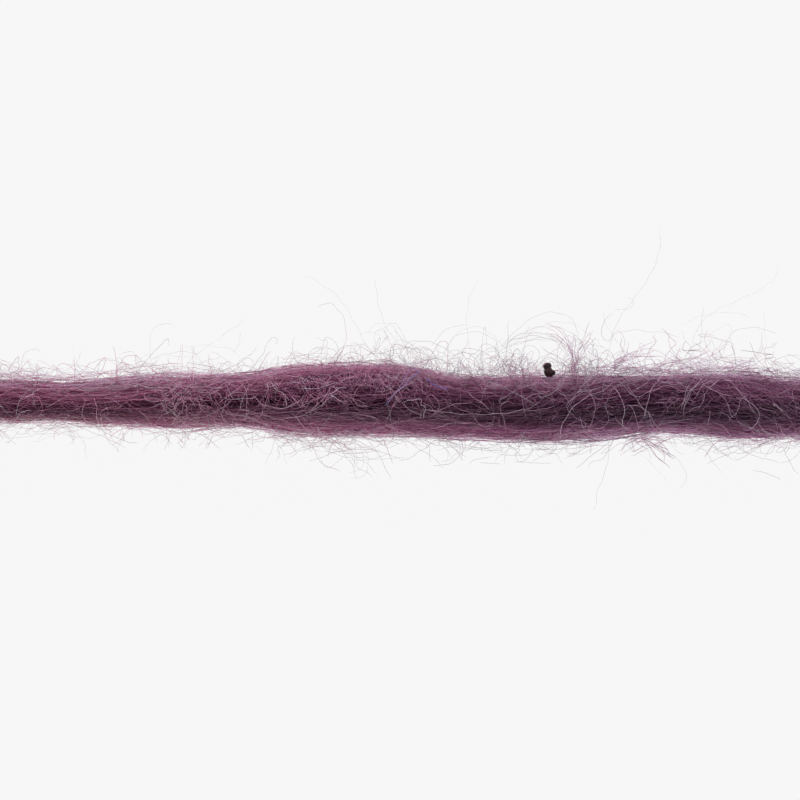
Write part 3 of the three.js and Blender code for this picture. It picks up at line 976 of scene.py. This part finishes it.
# %% Strays beyond the strand
LONG_STRAYS = [
    # x, y, length, heading at the start, middle and end, how many together, tone
    (-13.32, 1.04, 1.22, 72, 80, 112, 1, 0.6),
    (-13.08, 1.80, 0.68, -80, -66, -44, 1, 0.6),
    (-12.88, 1.00, 1.73, 52, 12, -46, 2, 0.6),
    (-10.00, 1.00, 2.9, 88, 75, -50, 1, 0.7),
    (-8.78, 2.23, 1.1, -86, -100, -96, 1, 0.65),
    (-8.82, 2.24, 0.95, -24, -42, -75, 1, 0.65),
    (-8.28, 2.14, 1.95, 2, -8, -46, 1, 0.65),
    (-8.64, 1.20, 3.25, 58, 34, 44, 1, 0.6),
    (-6.36, 2.80, 1.08, -98, -110, -106, 1, 0.7),
    (-10.00, 1.52, 1.83, 18, -2, -6, 2, 0.65),
    (-1.00, 1.60, 4.3, 116, 128, 150, 1, 0.75),
    (-1.26, 2.48, 2.2, 85, -20, -135, 1, 0.65),
    (-1.66, 2.56, 1.3, 22, -10, -65, 1, 0.65),
    (-2.02, 2.24, 0.93, 40, -90, -200, 1, 0.65),
    (-1.82, 1.96, 1.26, 90, -90, -270, 1, 0.65),
    (-0.76, 1.96, 2.0, 42, -10, -100, 2, 0.55),
    (-0.16, 2.70, 1.24, -58, -42, -74, 2, 0.55),
    (-1.16, 2.16, 1.76, -32, -38, -24, 2, 0.55),
    (0.72, 1.52, 3.8, 128, 122, 88, 1, 0.75),
    (2.83, 1.56, 3.2, 98, 90, 52, 1, 0.7),
    (1.24, 2.13, 1.75, 62, 32, -12, 1, 0.65),
    (1.89, 1.34, 4.3, 92, -10, -145, 2, 0.65),
    (3.46, 1.84, 2.27, 22, 24, -4, 2, 0.6),
    (3.75, 2.63, 1.0, -36, -58, -48, 1, 0.65),
    (4.92, 2.48, 0.6, 50, 56, 72, 1, 0.6),
    (4.00, 2.00, 4.3, 42, -8, -88, 7, 0.6),
    (8.32, 1.52, 5.7, 92, 55, 98, 1, 0.65),
    (8.94, 1.60, 2.1, 92, 128, 80, 1, 0.65),
    (8.48, 3.61, 1.3, 0, 30, 175, 1, 0.65),
    (11.76, 1.52, 5.4, 118, 25, 75, 1, 0.65),
    (12.04, 1.60, 2.1, 92, 88, 80, 1, 0.65),
    (11.20, 2.92, 2.9, 38, 8, -28, 1, 0.65),
    (14.64, 1.50, 2.1, 84, 92, 98, 1, 0.65),
    (8.36, 2.44, 2.9, 36, -2, -26, 1, 0.7),
    (13.10, 2.45, 2.07, 42, 6, -34, 1, 0.65),
    (11.32, 2.84, 1.12, -72, -66, -58, 1, 0.65),
    (11.96, 2.48, 1.7, 0, 28, -130, 1, 0.65),
    (-14.08, -1.03, 2.9, -35, -2, 36, 1, 0.55),
    (-13.34, -1.85, 0.6, 65, 40, 16, 1, 0.6),
    (-14.80, -1.64, 1.4, -4, 16, 22, 1, 0.65),
    (-6.22, -1.63, 1.3, -18, -36, 0, 1, 0.65),
    (-1.94, -1.52, 2.3, -40, -75, -190, 2, 0.6),
    (8.32, -1.50, 2.9, -75, -110, -92, 1, 0.65),
    (9.98, -1.69, 2.7, -34, -46, -150, 1, 0.65),
    (8.60, -1.60, 2.6, -28, -38, -60, 1, 0.65),
    (11.17, -1.69, 2.9, -28, -6, 10, 1, 0.65),
    (1.88, -1.64, 1.1, -84, -100, -122, 1, 0.65),
]
TUFTS = [
    # the same columns, for dyed fibres that cling together
    (-11.37, 0.72, 0.7, 85, 92, 104, 4, 0.7),
    (-11.37, 1.15, 0.9, 60, 20, -70, 3, 0.7),
    (6.92, 0.90, 1.2, 92, 90, 100, 7, 0.82),
    (6.92, 1.60, 1.5, 100, 128, 160, 6, 0.84),
    (6.95, 1.20, 1.6, 80, 60, 45, 5, 0.86),
    (8.50, 1.30, 0.5, 60, 40, 20, 9, 0.8),
    (8.60, 1.48, 1.6, 22, 18, 8, 6, 0.9),
    (9.60, -1.41, 1.6, -46, -36, -40, 6, 0.7),
]
STRAY_LEVEL, STRAY_SWING, STRAY_LIFT = (-0.3, 0.7), 0.25, -0.03
SHORTEST_STRAY = 0.3
# how much those together differ, in x, y, length and the three headings
STRAY_SHIFTS = (0.09, 0.06, 0.25, 6, 8, 11)
TUFT_SHIFTS = (0.025, 0.05, 0.25, 5, 9, 14)
STRAY_THICKNESS = (0.007, 0.013)
TUFT_THICKNESS = (0.014, 0.022)


def make_strays(name, seed, table, shifts, thickness, finish):
    """A row with several together gives that many fibres, whose x, y, length and headings differ by
    random parts of the shifts."""
    rng = np.random.default_rng(seed)
    rows = np.array(table)
    copies = rows[:, 6].astype(int)
    many = np.repeat(rows, copies, 0)
    alone = np.repeat(copies == 1, copies)[:, None]
    many[:, :6] += np.where(alone, 0, rng.normal(0, 1, (len(many), 6)) * shifts)
    many[:, 2] = np.maximum(many[:, 2], SHORTEST_STRAY)
    x, y = headed_paths(rng, many[:, :6], LONG_STEPS)
    base = rng.uniform(*STRAY_LEVEL, (len(many), 1))
    level = base + STRAY_SWING * smooth_noise(rng, len(many), LONG_STEPS, 2)
    paths = np.stack([x, y, ride_over(x, y, STRAY_LIFT, level)], -1)
    return fibres(name, paths, rng.uniform(*thickness, len(many)), many[:, 7], finish)


stray_piece = make_strays("strays", 61, LONG_STRAYS, STRAY_SHIFTS, STRAY_THICKNESS, halo_wool)
tuft_piece = make_strays("tufts", 62, TUFTS, TUFT_SHIFTS, TUFT_THICKNESS, fibre_wool)

# %% [markdown]
# ## The cut ends
#
# Where the yarn was snipped, every fibre stops in one plane, so the end is a dense round of tips. A tip
# shows little more than a dot. Short stubs on a sunflower's spiral give an even crowd of dots with no
# rows, which is quicker than letting the fibres along the strand fill the end.

# %% Stubs on the cut ends
STUB_COUNT = 700
STUB_STEPS = 3
STUB_INSET = 0.14
GOLDEN_TURN = 137.508
STUB_LENGTH = (0.2, 0.5)
STUB_REACH = 0.12  # a stub reaches past the cut by this share of a second random length
STUB_LEAN = 0.03
STUB_TONE, STUB_TONE_SPREAD = 0.5, 0.16
STUB_THICKNESS = (0.034, 0.055)


def make_stubs():
    """Stub k sits at the square root of its share of the count, times the rim's distance from the middle,
    and k golden turns round. It points out along the strand, with a small lean."""
    rng = np.random.default_rng(81)
    share = np.sqrt((np.arange(STUB_COUNT) + 0.5) / STUB_COUNT)[:, None]
    angle = np.arange(STUB_COUNT) * GOLDEN_TURN % 360
    t = np.linspace(0, 1, STUB_STEPS)
    paths = []
    for side in (-1, 1):
        end = np.full(STUB_COUNT, side * HALF_LENGTH)
        rim = strand_surface(end, angle, -STUB_INSET) / MM
        middle = np.stack([end, *middle_line(end)[:2]], -1)
        spot = middle + (rim - middle) * share
        length, past = rng.uniform(*STUB_LENGTH, (2, STUB_COUNT, 1))
        x = spot[:, :1] + side * (STUB_REACH * past - length * (1 - t))
        lean = rng.normal(0, STUB_LEAN, (2, STUB_COUNT, 1)) * t
        paths.append(np.stack([x, spot[:, 1:2] + lean[0], spot[:, 2:] + lean[1]], -1))
    paths = np.concatenate(paths)
    tones = dyes_about(rng, STUB_TONE, STUB_TONE_SPREAD, len(paths))
    return fibres("cut_ends", paths, rng.uniform(*STUB_THICKNESS, len(paths)), tones, fibre_wool)


stub_piece = make_stubs()

# %% [markdown]
# ## A plant fleck
#
# Sheep carry bits of plants in their wool, and spinning doesn't remove all of them. One dark fleck sits
# on the upper edge of the strand, held by a few fibres. It is three lumpy grains grown together: each is
# a sphere's grid whose radius swells and shrinks with low waves.

# %% The fleck
FLECK_GRAINS = [
    # x, y, height above the middle line, radii along X, Y and Z
    (5.87, 1.33, 0.34, 0.16, 0.18, 0.16),
    (5.95, 1.08, 0.42, 0.22, 0.18, 0.17),
    (5.9, 1.2, 0.38, 0.15, 0.17, 0.14),
]
GRAIN_ROUND = 40
GRAIN_RINGS = 24
# how high three sets of waves are, as parts of the radius
LUMP, RIDGE, PIMPLE = 0.07, 0.05, 0.03
FLECK_MAP_SCALE = (7, 2.4)  # the grain's angle in radians and its height are divided by these


def make_fleck():
    """Each grain: r = 1 plus low waves over the two angles, times its three radii."""
    turn = np.arange(GRAIN_ROUND) * 2 * np.pi / GRAIN_ROUND
    tilt = np.linspace(0, np.pi, GRAIN_RINGS + 1)[1:-1, None]
    sphere = [np.sin(tilt) * np.cos(turn), np.sin(tilt) * np.sin(turn), np.cos(tilt)]
    sphere = np.stack(np.broadcast_arrays(*sphere), -1)
    last = (GRAIN_RINGS - 2) * GRAIN_ROUND
    top, bottom = last + GRAIN_ROUND, last + GRAIN_ROUND + 1
    shell = [
        turned(ring_quads(GRAIN_RINGS - 2, GRAIN_ROUND)),
        fan(top, 0, GRAIN_ROUND),
        turned(fan(bottom, last, GRAIN_ROUND)),
    ]
    points, shapes, faces = [], [], []
    for g, (x, y, height, *radii) in enumerate(FLECK_GRAINS):
        r = 1 + LUMP * np.sin(3 * turn + g) * np.sin(tilt) + RIDGE * np.sin(5 * tilt + 2 * turn + g)
        r = r + PIMPLE * np.sin(9 * turn + 4 * tilt)
        shape = np.concatenate([(r[..., None] * sphere).reshape(-1, 3), [[0, 0, 1.0], [0, 0, -1.0]]])
        _, z, _ = middle_line(x)
        points.append((shape * radii + [x, y, z + height]) * MM)
        faces += [part + g * len(shape) for part in shell]
        shapes.append(shape)
    shapes = np.concatenate(shapes)
    order = np.concatenate([f.ravel() for f in faces])
    flat = np.stack([np.arctan2(shapes[:, 1], shapes[:, 0]), shapes[:, 2]], -1) / FLECK_MAP_SCALE + 0.5
    return new_mesh("plant_fleck", np.concatenate(points), faces, flat[order])


def fleck_material():
    """Dark brown, nearly black, with reddish mottling by noise and a dull gloss."""
    material, shader = new_material("plant_fleck", {"Roughness": 0.55})
    nodes, links = material.node_tree.nodes, material.node_tree.links
    place = add_node(nodes, "TexCoord")
    noise = add_node(nodes, "TexNoise", {"Scale": 3000.0})
    ramp = add_ramp(nodes, [(0.35, "1a0e11"), (0.7, "52262f")])
    bump = add_node(nodes, "Bump", {"Strength": 0.5, "Distance": 0.02 * MM})
    links.new(place.outputs["Object"], noise.inputs["Vector"])
    links.new(noise.outputs["Fac"], ramp.inputs["Fac"])
    links.new(noise.outputs["Fac"], bump.inputs["Height"])
    links.new(ramp.outputs["Color"], shader.inputs["Base Color"])
    links.new(bump.outputs["Normal"], shader.inputs["Normal"])
    return material


fleck = make_fleck()
fleck.data.materials.append(fleck_material())
print("plant_fleck has", len(FLECK_GRAINS), "grains and", len(fleck.data.polygons), "faces")

# %% [markdown]
# ## The floor and the light
#
# The strand lies on a pale lit surface, as on a light table, under a dim soft sky. Its edges then take
# the light of the floor, and the side that faces the camera stays dark, as in the photograph.

# %% Floor, light and film
FLOOR_HALF = 0.6
FLOOR_LIGHT = 0.92
SKY_LOW, SKY_HIGH = 1.8, 0.25
HORIZON, OVERHEAD = 0.08, 0.45
WINDOW_LIGHT = 0.6


def make_floor():
    """A square that gives off an even light of its own and throws hardly any back."""
    mesh = bpy.data.meshes.new("floor")
    corners = [(-1, -1), (1, -1), (1, 1), (-1, 1)]
    mesh.from_pydata([(x * FLOOR_HALF, y * FLOOR_HALF, 0) for x, y in corners], [], [(0, 1, 2, 3)])
    floor = bpy.data.objects.new("floor", mesh)
    bpy.context.scene.collection.objects.link(floor)
    surface = {
        "Base Color": (0.02, 0.02, 0.02, 1.0),
        "Roughness": 1.0,
        "Specular IOR Level": 0.0,
        "Emission Color": (1.0, 1.0, 1.0, 1.0),
        "Emission Strength": FLOOR_LIGHT,
    }
    mesh.materials.append(new_material("lit_floor", surface)[0])


def make_sky():
    """The world is bright at the horizon and dim overhead, by the height of the direction, and brighter
    towards +Y, by the fourth power of the direction's Y."""
    world = bpy.data.worlds.new("studio")
    bpy.context.scene.world = world
    world.use_nodes = True
    nodes, links = world.node_tree.nodes, world.node_tree.links
    place = add_node(nodes, "TexCoord")
    parts = add_node(nodes, "SeparateXYZ")
    shade = add_node(nodes, "MapRange", {"From Min": HORIZON, "From Max": OVERHEAD})
    fill(shade, {"To Min": SKY_LOW, "To Max": SKY_HIGH})
    links.new(place.outputs["Generated"], parts.inputs[0])
    links.new(parts.outputs["Z"], shade.inputs["Value"])
    ahead = add_node(nodes, "Math", {1: 0.0}, operation="MAXIMUM")
    links.new(parts.outputs["Y"], ahead.inputs[0])
    lobe = add_node(nodes, "Math", {1: 4.0}, operation="POWER")
    links.new(ahead.outputs[0], lobe.inputs[0])
    window = add_node(nodes, "Math", {1: WINDOW_LIGHT}, operation="MULTIPLY_ADD")
    links.new(lobe.outputs[0], window.inputs[0])
    links.new(shade.outputs["Result"], window.inputs[2])
    background = nodes["Background"]
    links.new(window.outputs[0], background.inputs["Strength"])
    fill(background, {"Color": (1, 1, 1, 1)})


make_floor()
make_sky()
bpy.context.scene.view_settings.view_transform = "Standard"

# %% [markdown]
# ## Hand over
#
# The strand is limp, its ends are bare, and it lies along its middle line. Every wool piece rides with the
# root, and the body takes the place of the plain solid, which is hidden.

# %% Hand over
cord_pieces = [
    *lay_pieces,
    wild_piece,
    *halo_pieces,
    long_piece,
    tangle_piece,
    stray_piece,
    tuft_piece,
    stub_piece,
    fleck,
]
wool_pieces = [yarn_body, *cord_pieces]
for piece in wool_pieces:
    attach(piece, "root")
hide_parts("strand")
